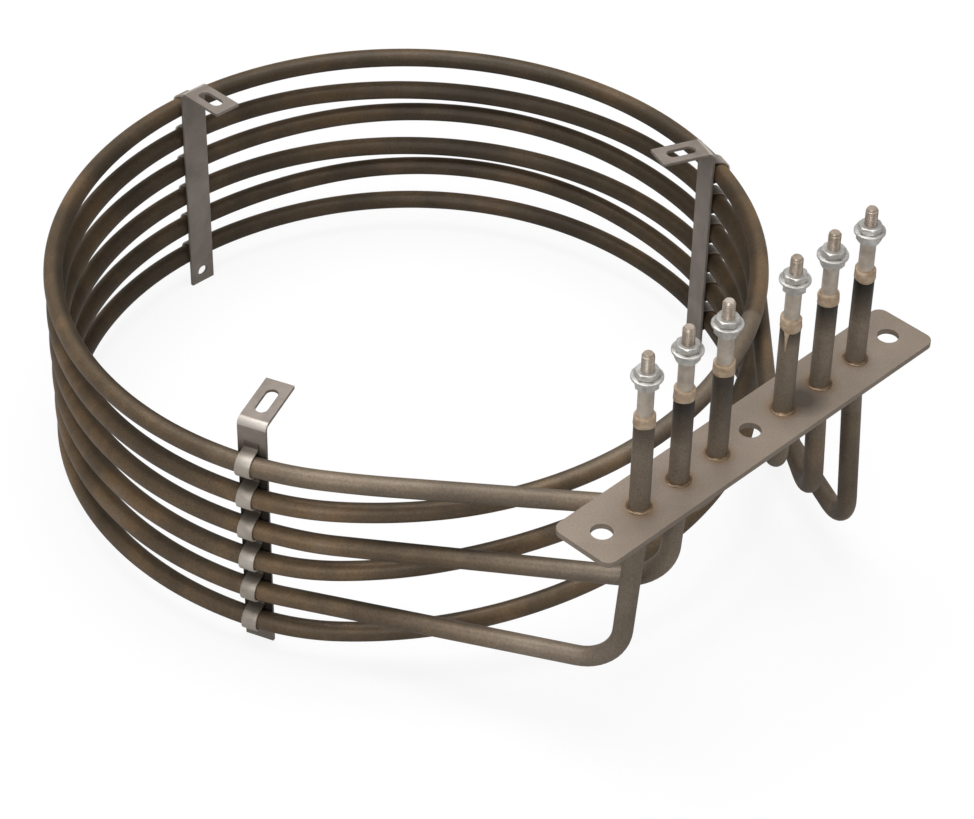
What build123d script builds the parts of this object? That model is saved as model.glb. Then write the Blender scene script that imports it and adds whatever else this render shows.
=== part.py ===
from build123d import *
import math
import os

# A flanged tubular heating element: three metal-sheathed heaters, each wound two turns, share one
# terminal flange and are held in a six-level coil by three brackets with wavy retaining strips.
# Lengths are in millimetres. The origin is the centre of the flange's middle hole, on its top face.
# +Z points up along the terminals and the coil's axis, and +Y points from the flange to the coil.

# ---- driving dimensions -------------------------------------------------------------------------
tube_d = 6.5                 # outside diameter of each heater's sheath
tube_wall = 0.6              # sheath wall
fill_gap = 0.05              # between the sheath and its insulating filling
wire_d = 2.6                 # outside diameter of the wound resistance wire
wire_gap = 0.05              # between the filling and what it holds

coil_r = 118.5               # centreline radius of every turn
coil_reach = 152.8           # from the row of terminals to the coil's axis
coil_offset = 0.9            # of the coil's axis, to the right of the flange's middle
level_spacing = 13.1         # from one turn to the next, at the brackets
top_level_depth = 16.5       # from the flange's top face down to the highest turn

flange_length = 152.0
flange_width = 23.5
flange_thick = 2.0
flange_corner_r = 3.5
flange_hole_d = 7.0
flange_end_margin = 9.5      # from each end of the flange to its outer hole's centre

inner_terminal_offset = 15.25    # from the middle hole to the nearest terminal on each side
outer_terminal_margin = 16.25    # from each outer hole to the nearest terminal
sheath_height = 33.0         # from the flange's top face to the sheath's open end
leg_bend_r = 15.0            # bend from each leg into its run
knee_depth = 9.0             # from the flange's top face to where a splayed leg turns outwards
knee_r = 60.0
middle_leg_splay = 2.6       # how far the middle leg of a group leans out at its foot
outer_leg_splay = 5.5        # the same for the outer leg
near_foot_depths = (24.0, 40.0, 62.2)     # below the flange's top face, for each heater's first leg
far_foot_depths = (28.0, 50.5, 75.3)      # the same for its last leg

# The turns are level at the brackets and spring a little up or down between the two back brackets.
upper_turn_spring = (-0.5, 2.0, 3.8)
lower_turn_spring = (-1.8, -0.5, 1.0)
# Angles are counterclockwise about the coil's axis from +X, seen from above.
front_bracket_lag = 5.11     # from where the lowest near run meets the coil to the front bracket
left_bracket_angle = 87.8
right_bracket_lead = 7.73    # from the right bracket to where the lowest far run leaves the coil
crossover_start = (-30.0, -85.0, -76.0)   # where each heater starts down to its second turn
# On its way down each heater passes a flattened place in front, facing the flange's left end.
flat_angle = -130.0
flat_inset = 2.5             # how far the tubes are pressed in there from the turns' radius
flat_heights = (1.2, 4.8, 3.5)            # of each heater there, above its second turn
flat_slopes = (0.053, 0.15, 0.12)         # how steeply each heater falls there

bracket_width = 10.0
bracket_thick = 1.2
bracket_bend_r = 1.2         # inside the bend at the bracket's top
bracket_top_heights = (14.3, 8.9, 10.8)   # from the highest turn up to each bend: front, left, right
bracket_flange_rise = 1.2    # how much higher the flange's free end is than its bend
bracket_foot_depth = 11.8    # from the lowest turn to the bracket's foot
bracket_flange_length = 20.5
slot_width = 4.2
slot_length = 11.0
slot_end_margin = 4.0        # from the flange's free end to the slot
foot_hole_d = 4.0
foot_hole_height = 4.7       # from the foot to the hole's centre
seat_gap = 0.2               # between the bracket or its strip and each turn

strip_width = 5.2
strip_thick = 0.7
strip_wrap = 80.0            # how far the strip follows a turn each side of its outermost point, degrees
strip_fold_r = 0.6           # at each fold between a wrap and a valley
strip_head = 6.4             # from the highest turn's centre to the strip's top end
strip_tail = 5.0             # from the lowest turn's centre to the strip's bottom end

seal_height = 3.5
seal_proud = 0.15            # how far the seal stands outside the sheath
seal_plug = 4.0              # how far it reaches down into the sheath
seal_edge_r = 0.4
bush_d = 5.0
bush_length = 10.4           # visible above the seal
bush_seat = 1.5              # how far the bush is sunk into the seal
bush_gap = 0.02              # round the bush, in the seal
bush_chamfer = 0.3
pin_d = 2.6
pin_depth = 36.0             # from the sheath's open end down into the filling
pin_gap = 0.1                # round the pin, in the seal and the bush
stud_d = 4.0
stud_core_d = 3.5            # the thread's pitch diameter, to which it is drawn inside the nuts
stud_core_proud = 0.4        # how far the core shows above the upper nut
stud_free_length = 6.0       # of the thread above the upper nut
stud_chamfer = 0.5
nut_across_flats = 7.0
nut_height = 3.2
thin_nut_height = 2.2
nut_chamfer = 0.45
nut_turn = 17.0              # each terminal's nuts are turned this much further, degrees
thread_gap = 0.05            # round the stud's core, in the nuts
washer_d = 9.9
washer_bore = 4.3
washer_thick = 0.8
braze_leg = 0.9              # of the braze fillet on the flange round each sheath
braze_seat_depth = 0.6       # of the countersink in the flange that the braze fills
joint_gap = 0.03             # round each sheath, in the flange and the braze

# ---- places worked out from them ----------------------------------------------------------------
heaters = range(len(near_foot_depths))
coil_centre = Vector(coil_offset, coil_reach, 0)
flange_hole_spacing = flange_length / 2 - flange_end_margin
terminal_spacing = (flange_hole_spacing - outer_terminal_margin - inner_terminal_offset) / 2
terminal_x = []
for outwards in heaters:
    offset = inner_terminal_offset + outwards * terminal_spacing
    terminal_x.append((-offset, offset))
leg_splay = (0.0, middle_leg_splay, outer_leg_splay)
full_turn = 360.0
bracket_outer_r = coil_r - tube_d / 2 - seat_gap
lowest_level = -top_level_depth - 5 * level_spacing
foot_z = lowest_level - bracket_foot_depth
stud_hole_r = stud_core_d / 2 + thread_gap
flange_bore_r = tube_d / 2 + joint_gap


def level_z(level):
    """Height of a turn's centreline at the brackets; level 0 is the highest."""
    return -top_level_depth - level * level_spacing


def on_coil(angle, z, inset=0.0):
    """Point on the coil's centreline cylinder, or inset from it towards the axis."""
    turn = math.radians(angle)
    radius = coil_r - inset
    return coil_centre + Vector(radius * math.cos(turn), radius * math.sin(turn), z)


def along_coil(angle, slope=0.0):
    """Direction in which the heaters are wound, clockwise seen from above, falling by the slope."""
    turn = math.radians(angle)
    return Vector(math.sin(turn), -math.cos(turn), -slope).normalized()


# ---- tube paths: straight runs and tangent arcs ---------------------------------------------------
def arc_between(start, corner, end):
    """Arc from start to end, tangent to both legs of the corner, which are equally long."""
    middle = (start + end) * 0.5
    depth = (corner - middle).length
    half_chord = (end - start).length / 2
    if depth < 1e-6:
        return Line(start, end)
    leg = (corner - start).length
    radius = half_chord * leg / depth
    sagitta = radius * (1 - half_chord / leg)
    return ThreePointArc(start, middle + (corner - middle).normalized() * sagitta, end)


def double_arc(start, start_way, end, end_way):
    """Two tangent arcs from start to end that leave and arrive along the given unit directions."""
    step = end - start
    ways = start_way + end_way
    spread = 2 * (1 - start_way.dot(end_way))
    reach = step.dot(ways)
    leg = (math.sqrt(reach * reach + spread * step.dot(step)) - reach) / spread
    first_corner = start + start_way * leg
    last_corner = end - end_way * leg
    joint = (first_corner + last_corner) * 0.5
    return [arc_between(start, first_corner, joint), arc_between(joint, last_corner, end)]


def rounded_run(points, radii):
    """Straight runs through the points, with an arc of the given radius at each inner point."""
    edges = []
    last = points[0]
    for before, corner, after, radius in zip(points, points[1:], points[2:], radii):
        way_in = (corner - before).normalized()
        way_out = (after - corner).normalized()
        setback = radius * math.tan(math.acos(way_in.dot(way_out)) / 2)
        arc_start = corner - way_in * setback
        arc_end = corner + way_out * setback
        edges.append(Line(last, arc_start))
        edges.append(arc_between(arc_start, corner, arc_end))
        last = arc_end
    edges.append(Line(last, points[-1]))
    return edges


def tangent_angle(foot, side):
    """Angle at which a straight run from the foot touches the coil; side is -1 on the left."""
    away = foot - coil_centre
    distance = math.hypot(away.X, away.Y)
    heading = math.degrees(math.atan2(away.Y, away.X))
    return heading + side * math.degrees(math.acos(coil_r / distance))


lowest = len(near_foot_depths) - 1
lowest_near_foot = Vector(terminal_x[lowest][0] - leg_splay[lowest], 0, 0)
lowest_far_foot = Vector(terminal_x[lowest][1] + leg_splay[lowest], 0, 0)
front_bracket_angle = tangent_angle(lowest_near_foot, -1) + full_turn - front_bracket_lag
right_bracket_angle = tangent_angle(lowest_far_foot, 1) + right_bracket_lead
bracket_angles = (front_bracket_angle, left_bracket_angle, right_bracket_angle)
back_middle = (left_bracket_angle + right_bracket_angle) / 2


def leg_points(heater, side, end_z):
    """Centreline points of a leg: its open end, its knee where it is splayed, and its foot."""
    x = terminal_x[heater][0 if side < 0 else 1]
    depth = (near_foot_depths if side < 0 else far_foot_depths)[heater]
    foot = Vector(x + side * leg_splay[heater], 0, -depth)
    if leg_splay[heater]:
        return [Vector(x, 0, end_z), Vector(x, 0, -knee_depth), foot], [knee_r, leg_bend_r]
    return [Vector(x, 0, end_z), foot], [leg_bend_r]


def heater_path(heater, end_z):
    """Centreline of one heater from its left-hand terminal, round two turns, to its right-hand one."""
    upper_z = level_z(2 * heater)
    lower_z = level_z(2 * heater + 1)
    front, left, right = bracket_angles
    stations = [(front, upper_z, 0, 0), (left, upper_z, 0, 0)]
    stations.append((back_middle, upper_z + upper_turn_spring[heater], 0, 0))
    stations.append((right, upper_z, 0, 0))
    stations.append((crossover_start[heater], upper_z, 0, 0))
    stations.append((flat_angle, lower_z + flat_heights[heater], flat_inset, flat_slopes[heater]))
    stations.append((front - full_turn, lower_z, 0, 0))
    stations.append((left - full_turn, lower_z, 0, 0))
    stations.append((back_middle - full_turn, lower_z + lower_turn_spring[heater], 0, 0))
    stations.append((right - full_turn, lower_z, 0, 0))

    near_points, near_radii = leg_points(heater, -1, end_z)
    near_angle = tangent_angle(near_points[-1], -1) + full_turn
    near_touch = on_coil(near_angle, upper_z)
    edges = rounded_run(near_points + [near_touch], near_radii)
    way = (near_touch - near_points[-1]).normalized()
    place = near_touch
    for angle, z, inset, slope in stations:
        next_place = on_coil(angle, z, inset)
        next_way = along_coil(angle, slope)
        edges += double_arc(place, way, next_place, next_way)
        place, way = next_place, next_way
    far_points, far_radii = leg_points(heater, 1, end_z)
    far_angle = tangent_angle(far_points[-1], 1)
    far_touch = on_coil(far_angle, lower_z)
    far_way = (far_points[-1] - far_touch).normalized()
    edges += double_arc(place, way, far_touch, far_way)
    edges += rounded_run([far_touch] + far_points[::-1], far_radii[::-1])
    return Wire(edges)


def tube_along(path, outside_d, inside_d=0.0):
    """Round bar or tube swept along a path that starts downwards."""
    start = Plane(origin=path @ 0, z_dir=path % 0)
    section = start * Circle(outside_d / 2)
    bar = sweep(section, path=path)
    if not inside_d:
        return bar
    return bar - sweep(start * Circle(inside_d / 2), path=path)


# ---- the three heaters ----------------------------------------------------------------------------
def sheath(heater):
    return tube_along(heater_path(heater, sheath_height), tube_d, tube_d - 2 * tube_wall)


def filling(heater):
    outside_d = tube_d - 2 * tube_wall - 2 * fill_gap
    path = heater_path(heater, sheath_height - seal_plug)
    return tube_along(path, outside_d, wire_d + 2 * wire_gap)


def resistance_wire(heater):
    return tube_along(heater_path(heater, sheath_height - pin_depth), wire_d)


# ---- what stands on each sheath's end ---------------------------------------------------------------
def seal():
    """Sealing compound: a plug inside the sheath and a slightly proud head round the bush."""
    plug = Pos(0, 0, sheath_height - seal_plug) * Cylinder(
        tube_d / 2 - tube_wall, seal_plug, align=(Align.CENTER, Align.CENTER, Align.MIN))
    head = Pos(0, 0, sheath_height) * Cylinder(
        tube_d / 2 + seal_proud, seal_height, align=(Align.CENTER, Align.CENTER, Align.MIN))
    head = fillet(head.edges().group_by(Axis.Z)[-1], seal_edge_r)
    body = plug + head
    body -= Pos(0, 0, sheath_height) * Cylinder(pin_d / 2 + pin_gap, 4 * seal_height)
    socket_z = sheath_height + seal_height - bush_seat
    return body - Pos(0, 0, socket_z) * Cylinder(
        bush_d / 2 + bush_gap, 2 * bush_seat, align=(Align.CENTER, Align.CENTER, Align.MIN))


bush_top_z = sheath_height + seal_height + bush_length


def ceramic_bush():
    bottom_z = sheath_height + seal_height - bush_seat
    body = Pos(0, 0, bottom_z) * Cylinder(
        bush_d / 2, bush_top_z - bottom_z, align=(Align.CENTER, Align.CENTER, Align.MIN))
    body = chamfer(body.edges().group_by(Axis.Z)[-1], bush_chamfer)
    return body - Pos(0, 0, bottom_z) * Cylinder(pin_d / 2 + pin_gap, 3 * bush_length)


nut_z = bush_top_z
washer_z = nut_z + nut_height
thin_nut_z = washer_z + washer_thick
free_end_z = thin_nut_z + thin_nut_height + stud_core_proud
stud_top_z = thin_nut_z + thin_nut_height + stud_free_length


def terminal_pin():
    """Cold pin that carries the current to the wire, in one piece with its threaded stud."""
    bottom_z = sheath_height - pin_depth
    shank = Pos(0, 0, bottom_z) * Cylinder(
        pin_d / 2, bush_top_z - bottom_z, align=(Align.CENTER, Align.CENTER, Align.MIN))
    core = Pos(0, 0, bush_top_z) * Cylinder(
        stud_core_d / 2, free_end_z - bush_top_z, align=(Align.CENTER, Align.CENTER, Align.MIN))
    free_end = Pos(0, 0, free_end_z) * Cylinder(
        stud_d / 2, stud_top_z - free_end_z, align=(Align.CENTER, Align.CENTER, Align.MIN))
    free_end = chamfer(free_end.edges().group_by(Axis.Z)[-1], stud_chamfer)
    return shank + core + free_end


def hex_nut(height):
    """Plain hexagon nut standing on z = 0, with its corners chamfered at both faces."""
    prism = extrude(RegularPolygon(nut_across_flats / 2, 6, major_radius=False), height)
    corner_r = nut_across_flats / 2 / math.cos(math.pi / 6)
    blank = Cylinder(corner_r, height, align=(Align.CENTER, Align.CENTER, Align.MIN))
    blank = chamfer(blank.edges(), nut_chamfer)
    return (prism & blank) - Cylinder(stud_hole_r, 3 * height)


def washer():
    ring = Circle(washer_d / 2) - Circle(washer_bore / 2)
    return extrude(ring, washer_thick)


def braze_ring():
    """Braze that fills the flange's countersink and rises as a fillet against the sheath."""
    lowest_z = joint_gap - braze_seat_depth
    outline = Polyline((flange_bore_r, lowest_z), (flange_bore_r, braze_leg),
                       (flange_bore_r + braze_leg - joint_gap, 0), close=True)
    return revolve(Plane.XZ * make_face(outline), Axis.Z)


# ---- the flange, the brackets and their strips ------------------------------------------------------
def flange_plate():
    """Flat plate with three screw holes, and a countersunk hole for each sheath."""
    outline = RectangleRounded(flange_length, flange_width, flange_corner_r)
    for x in (-flange_hole_spacing, 0, flange_hole_spacing):
        outline -= Pos(x, 0) * Circle(flange_hole_d / 2)
    plate = extrude(outline, -flange_thick)
    bore = Cylinder(flange_bore_r, 3 * flange_thick)
    countersink = Cone(flange_bore_r, flange_bore_r + braze_leg, braze_seat_depth)
    for pair in terminal_x:
        for x in pair:
            plate -= Pos(x, 0, 0) * bore
            plate -= Pos(x, 0, -braze_seat_depth / 2) * countersink
    return plate


def at_bracket(angle):
    """Place where +X points outwards from the coil's axis through a bracket."""
    return Pos(coil_centre) * Rot(0, 0, angle)


def bracket(top_height):
    """Flat strip inside the turns, bent inwards at the top into a slotted flange."""
    outer = bracket_outer_r
    inner = outer - bracket_thick
    tip = outer - bracket_flange_length
    bend_z = -top_level_depth + top_height
    tip_z = bend_z + bracket_flange_rise
    under = bend_z - bracket_thick
    outline = Polyline((outer, foot_z), (outer, bend_z), (tip, tip_z), (tip, tip_z - bracket_thick),
                       (inner, under), (inner, foot_z), close=True)
    profile = make_face(outline)
    bend_corner = profile.vertices().sort_by(lambda point: point.X + point.Y)[-1]
    profile = fillet(bend_corner, bracket_bend_r + bracket_thick)
    inside_corner = profile.vertices().sort_by_distance((inner, under))[0]
    profile = fillet(inside_corner, bracket_bend_r)
    body = extrude(Plane.XZ * profile, bracket_width / 2, both=True)
    slot = extrude(SlotOverall(slot_length, slot_width), 4 * bracket_thick, both=True)
    body -= Pos(tip + slot_end_margin + slot_length / 2, 0, bend_z) * slot
    hole = Rot(0, 90, 0) * Cylinder(foot_hole_d / 2, 6 * bracket_thick)
    return body - Pos(outer, 0, foot_z + foot_hole_height) * hole


def retaining_strip():
    """Thin strip that wraps over each turn from outside and lies on the bracket between them."""
    wrap_r = tube_d / 2 + seat_gap + strip_thick / 2
    face_r = bracket_outer_r + strip_thick / 2
    wrap = math.radians(strip_wrap)
    wrap_end_r = coil_r + wrap_r * math.cos(wrap)
    wrap_end_z = wrap_r * math.sin(wrap)
    fold_z = wrap_end_z + (wrap_end_r - face_r) / math.tan(wrap)
    edges = []
    last = [Vector(face_r, 0, level_z(0) + strip_head)]
    for level in range(6):
        z = level_z(level)
        to_wrap = last + [Vector(face_r, 0, z + fold_z), Vector(wrap_end_r, 0, z + wrap_end_z)]
        edges += rounded_run(to_wrap, [strip_fold_r] * (len(to_wrap) - 2))
        wrap_end = Vector(wrap_end_r, 0, z - wrap_end_z)
        edges.append(ThreePointArc(to_wrap[-1], (coil_r + wrap_r, 0, z), wrap_end))
        last = [wrap_end, Vector(face_r, 0, z - fold_z)]
    tail = Vector(face_r, 0, level_z(5) - strip_tail)
    edges += rounded_run(last + [tail], [strip_fold_r])
    path = Wire(edges)
    start = Plane(origin=path @ 0, x_dir=(1, 0, 0), z_dir=(0, 0, -1))
    return sweep(start * Rectangle(strip_thick, strip_width), path=path)


# ---- the pieces -------------------------------------------------------------------------------------
pieces = {"flange_plate": flange_plate()}
for heater in heaters:
    pieces[f"sheath_{heater + 1}"] = sheath(heater)
    pieces[f"filling_{heater + 1}"] = filling(heater)
    pieces[f"resistance_wire_{heater + 1}"] = resistance_wire(heater)

terminals = sorted(x for pair in terminal_x for x in pair)
nuts, washers, thin_nuts = [], [], []
for number, x in enumerate(terminals, start=1):
    pieces[f"braze_ring_{number}"] = Pos(x, 0, 0) * braze_ring()
    pieces[f"seal_{number}"] = Pos(x, 0, 0) * seal()
    pieces[f"ceramic_bush_{number}"] = Pos(x, 0, 0) * ceramic_bush()
    pieces[f"terminal_pin_{number}"] = Pos(x, 0, 0) * terminal_pin()
    turned = Rot(0, 0, nut_turn * number)
    nuts.append(Pos(x, 0, nut_z) * turned * hex_nut(nut_height))
    washers.append(Pos(x, 0, washer_z) * washer())
    thin_nuts.append(Pos(x, 0, thin_nut_z) * turned * turned * hex_nut(thin_nut_height))
pieces["lower_nuts"] = Compound(children=nuts)
pieces["washers"] = Compound(children=washers)
pieces["upper_nuts"] = Compound(children=thin_nuts)

for name, angle, height in zip(("front", "left", "right"), bracket_angles, bracket_top_heights):
    pieces[f"bracket_{name}"] = at_bracket(angle) * bracket(height)
    pieces[f"retaining_strip_{name}"] = at_bracket(angle) * retaining_strip()

os.makedirs("parts", exist_ok=True)
for node, piece in pieces.items():
    export_step(piece, f"parts/{node}.step")
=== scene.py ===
import bpy
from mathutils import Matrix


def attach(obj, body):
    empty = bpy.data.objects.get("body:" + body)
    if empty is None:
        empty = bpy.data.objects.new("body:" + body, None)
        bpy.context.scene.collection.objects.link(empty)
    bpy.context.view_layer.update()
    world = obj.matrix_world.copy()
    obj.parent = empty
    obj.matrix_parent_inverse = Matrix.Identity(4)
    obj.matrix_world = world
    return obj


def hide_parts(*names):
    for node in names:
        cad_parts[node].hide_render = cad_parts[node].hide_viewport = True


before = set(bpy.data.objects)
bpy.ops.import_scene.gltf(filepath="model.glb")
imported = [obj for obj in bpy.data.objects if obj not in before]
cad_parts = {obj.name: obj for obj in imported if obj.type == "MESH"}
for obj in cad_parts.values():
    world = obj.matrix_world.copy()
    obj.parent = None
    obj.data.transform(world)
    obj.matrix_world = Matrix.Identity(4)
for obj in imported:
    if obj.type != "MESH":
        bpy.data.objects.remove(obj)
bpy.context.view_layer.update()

import bpy
import math
import numpy as np
from mathutils import Matrix

# ---- Heater sheaths ------------------------------------------------------------------------------
# Three stainless tubes, each bent from one length: down from its left terminal, two turns round the
# coil and up to its right terminal, then annealed and left with their dark oxide. Here and below,
# sizes are in millimetres and angles in degrees about the coil's axis, from +X.
tube_r = 3.25
tube_bore_r = 2.65
tube_sides = 32                     # points round a tube
sheath_top = 33.0                   # the open ends, above the flange
coil_r = 118.5                      # from the coil's axis to the tubes' centrelines
coil_reach = 152.8                  # from the row of terminals to that axis
coil_offset = 0.9                   # of that axis to the right of the flange's middle
top_turn_z = -16.5
turn_spacing = 13.1
lowest_turn_z = top_turn_z - 5 * turn_spacing
bracket_angles = {"front": 201.2, "left": 87.8, "right": -19.4}
terminals = np.array([-50.25, -32.75, -15.25, 15.25, 32.75, 50.25])
leg_splay = (0.0, 2.6, 5.5)         # outwards at each heater's feet
splay_top_z = -9.0                  # where a splayed leg leaves the vertical
splay_bend_r = 60.0
knee_r = 15.0                       # bend at each foot
near_depths = (24.0, 40.0, 62.2)    # of the left feet
far_depths = (28.0, 50.5, 75.3)     # of the right feet
upper_spring = (-0.5, 2.0, 3.8)     # rise of each upper turn between the two back brackets
lower_spring = (-1.8, -0.5, 1.0)
step_down_at = (-30.0, -85.0, -76.0)
mid_step_angle = -130.0             # a place on the way from the upper turn down to the lower one
mid_step_height = (1.2, 4.8, 3.5)   # above the lower turn there
mid_step_slope = (0.053, 0.15, 0.12)
mid_step_pull = 2.5                 # towards the coil's axis
coil_middle = np.array([coil_offset, coil_reach, 0.0])


def unit(ways):
    """Each vector divided by its own length."""
    ways = np.asarray(ways, float)
    return ways / np.linalg.norm(ways, axis=-1, keepdims=True)


def corner_arc(start, corner, end, spacing):
    """Points along the circular arc that touches both legs of a corner: the two legs' bisector
    gives the circle's centre, and the angle from it runs evenly from -half to +half of the bend.
    Where there is hardly a bend, the points lie on the straight line."""
    start, corner, end = (np.asarray(p, float) for p in (start, corner, end))
    way_in, way_out = unit(corner - start), unit(end - corner)
    half = math.acos(np.clip(way_in @ way_out, -1, 1)) / 2
    leg = np.linalg.norm(corner - start)
    if half < 1e-4:
        count = max(2, int(2 * leg / spacing))
        return start + (end - start) * np.linspace(0, 1, count)[:, None]
    radius = leg / math.tan(half)
    inwards = unit(way_out - way_in)
    along = unit(way_in + way_out)
    centre = corner + inwards * radius / math.cos(half)
    count = max(4, int(2 * half * radius / spacing))
    turn = np.linspace(-half, half, count)[:, None]
    return centre - inwards * radius * np.cos(turn) + along * radius * np.sin(turn)


def arc_pair(start, start_way, end, end_way, spacing):
    """Two touching arcs that leave and arrive along given directions, with legs of equal length:
    the length for which the two legs' ends are two legs apart."""
    step, ways = end - start, start_way + end_way
    apart = 2 * (1 - start_way @ end_way)
    reach = step @ ways
    leg = (math.sqrt(reach * reach + apart * (step @ step)) - reach) / apart
    first, last = start + start_way * leg, end - end_way * leg
    joint = (first + last) / 2
    return [corner_arc(start, first, joint, spacing), corner_arc(joint, last, end, spacing)]


def rounded_line(points, radii, spacing):
    """Straight lines through the points, with an arc of a given radius at each inner point."""
    points = [np.asarray(p, float) for p in points]
    parts, last = [], points[0]
    for before, corner, after, radius in zip(points, points[1:], points[2:], radii):
        way_in, way_out = unit(corner - before), unit(after - corner)
        setback = radius * math.tan(math.acos(way_in @ way_out) / 2)
        arc_start, arc_end = corner - way_in * setback, corner + way_out * setback
        parts.append(corner_arc(last, (last + arc_start) / 2, arc_start, spacing))
        parts.append(corner_arc(arc_start, corner, arc_end, spacing))
        last = arc_end
    parts.append(corner_arc(last, (last + points[-1]) / 2, points[-1], spacing))
    return parts


def joined(parts):
    """One row of points from touching parts, without the doubled points where they touch."""
    return np.concatenate([parts[0]] + [part[1:] for part in parts[1:]])


def on_coil(angle, z, pull=0.0):
    """A centreline point at an angle about the coil's axis, pulled in towards it if asked."""
    turn, radius = math.radians(angle), coil_r - pull
    return coil_middle + np.array([radius * math.cos(turn), radius * math.sin(turn), z])


def round_coil(angle, slope=0.0):
    """The way a tube runs there: square to the radius, and falling by the slope."""
    turn = math.radians(angle)
    return unit([math.sin(turn), -math.cos(turn), -slope])


def touch_angle(foot, side):
    """Angle at which a straight run from a foot touches the coil: the foot's own angle, and beyond
    it the angle whose cosine is the coil's radius over the foot's distance."""
    away = foot - coil_middle
    heading = math.degrees(math.atan2(away[1], away[0]))
    return heading + side * math.degrees(math.acos(coil_r / math.hypot(away[0], away[1])))


def leg_of(heater, side):
    """Corners of a leg from its open end down to its foot, and the bend radius at each of them
    after the first. A splayed leg leans outwards from a bend below the flange."""
    x = terminals[3 + heater] if side > 0 else terminals[2 - heater]
    depth = (far_depths if side > 0 else near_depths)[heater]
    foot = np.array([x + side * leg_splay[heater], 0, -depth])
    if leg_splay[heater]:
        return [(x, 0, sheath_top), (x, 0, splay_top_z), foot], [splay_bend_r, knee_r]
    return [(x, 0, sheath_top), foot], [knee_r]


def heater_line(heater, spacing=1.6):
    """Centreline of one heater: leg, run, two turns with a step down between them, run and leg.
    Pairs of arcs carry it from each station on the coil to the next."""
    upper = top_turn_z - 2 * heater * turn_spacing
    lower = upper - turn_spacing
    front, left, right = bracket_angles.values()
    back = (left + right) / 2
    stations = [(front, upper), (left, upper), (back, upper + upper_spring[heater]), (right, upper),
                (step_down_at[heater], upper),
                (mid_step_angle, lower + mid_step_height[heater], mid_step_pull,
                 mid_step_slope[heater]),
                (front - 360, lower), (left - 360, lower),
                (back - 360, lower + lower_spring[heater]), (right - 360, lower)]
    points, radii = leg_of(heater, -1)
    place = on_coil(touch_angle(points[-1], -1), upper)
    way = unit(place - points[-1])
    parts = rounded_line(points + [place], radii, spacing)
    for angle, z, *bend in stations:
        pull, slope = bend or (0.0, 0.0)
        next_place, next_way = on_coil(angle, z, pull), round_coil(angle, slope)
        parts += arc_pair(place, way, next_place, next_way, spacing)
        place, way = next_place, next_way
    points, radii = leg_of(heater, 1)
    touch = on_coil(touch_angle(points[-1], 1), lower)
    parts += arc_pair(place, way, touch, unit(points[-1] - touch), spacing)
    parts += rounded_line([touch] + points[::-1], radii[::-1], spacing)
    return joined(parts)


def ring_quads(rings, points, looped=False):
    """Corner numbers of the quads between neighbouring rings: points j and j + 1 of ring i, then
    the same two of ring i + 1. Looped rings also join the last ring to the first."""
    i, j = np.meshgrid(np.arange(rings if looped else rings - 1), np.arange(points), indexing="ij")
    k, p = (j + 1) % points, (i + 1) % rings
    quads = np.stack([i * points + j, i * points + k, p * points + k, p * points + j], -1)
    return quads.reshape(-1, 4)


def fastened(name, mesh, nodes, material):
    """Makes a mesh a piece of the object: it takes one material, stays with the fixed body and
    stands in for CAD nodes."""
    piece = bpy.data.objects.new(name, mesh)
    bpy.context.scene.collection.objects.link(piece)
    mesh.materials.clear()
    mesh.materials.append(material)
    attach(piece, "root")
    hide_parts(*nodes)
    return piece


def smoothed(mesh):
    """Shades a mesh smooth, apart from edges that bend by more than 38 degrees."""
    mesh.shade_smooth()
    mesh.set_sharp_from_angle(angle=math.radians(38))
    return mesh


def skin(name, rings, nodes, material):
    """Puts closed rings of points, in millimetres, into a mesh in metres: an array of rings by
    points by 3. Neighbouring rings are joined by quads, and each end by a fan to its middle. The UV
    map runs once round a ring and, in metres, along the shell."""
    rings = np.asarray(rings, float) / 1000
    n, m = rings.shape[:2]
    middles = rings.mean(1)
    run = np.concatenate([[0], np.cumsum(np.linalg.norm(np.diff(middles, axis=0), axis=1))])
    j = np.arange(m)
    k = (j + 1) % m
    low = np.stack([k, j, np.full(m, n * m)], -1)
    high = np.stack([(n - 1) * m + j, (n - 1) * m + k, np.full(m, n * m + 1)], -1)
    corners = np.concatenate([rings.reshape(-1, 3), middles[[0, -1]]])
    mesh = bpy.data.meshes.new(name)
    mesh.from_pydata(corners, [], ring_quads(n, m).tolist() + low.tolist() + high.tolist())
    fan = np.stack([j + 1, j, j + 0.5], -1) / m
    low_fan = np.stack([fan, np.full((m, 3), run[0])], -1)
    high_fan = np.stack([fan[:, [1, 0, 2]], np.full((m, 3), run[-1])], -1)
    i, j = np.meshgrid(np.arange(n - 1), j, indexing="ij")
    around = np.stack([j, j + 1, j + 1, j], -1) / m
    length = np.stack([run[i], run[i], run[i + 1], run[i + 1]], -1)
    sheet = [np.stack([around, length], -1), low_fan, high_fan]
    flat = np.concatenate([part.reshape(-1, 2) for part in sheet])
    mesh.uv_layers.new(name="along").data.foreach_set("uv", flat.astype(np.float32).ravel())
    return fastened(name, smoothed(mesh), nodes, material)


def paint(red, green, blue):
    """A screen colour, 0 to 255, turned into the linear values that Blender takes."""
    linear = (((c / 255 + 0.055) / 1.055) ** 2.4 if c > 10 else c / 3294.6
              for c in (red, green, blue))
    return (*linear, 1.0)


def put(tree, kind, inputs=None, **settings):
    """Adds one node. Each input, by name or number, takes a value or another node's socket."""
    node = tree.nodes.new(kind)
    for name, value in settings.items():
        setattr(node, name, value)
    for name, value in (inputs or {}).items():
        if isinstance(value, bpy.types.NodeSocket):
            tree.links.new(value, node.inputs[name])
        else:
            node.inputs[name].default_value = value
    return node


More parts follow.
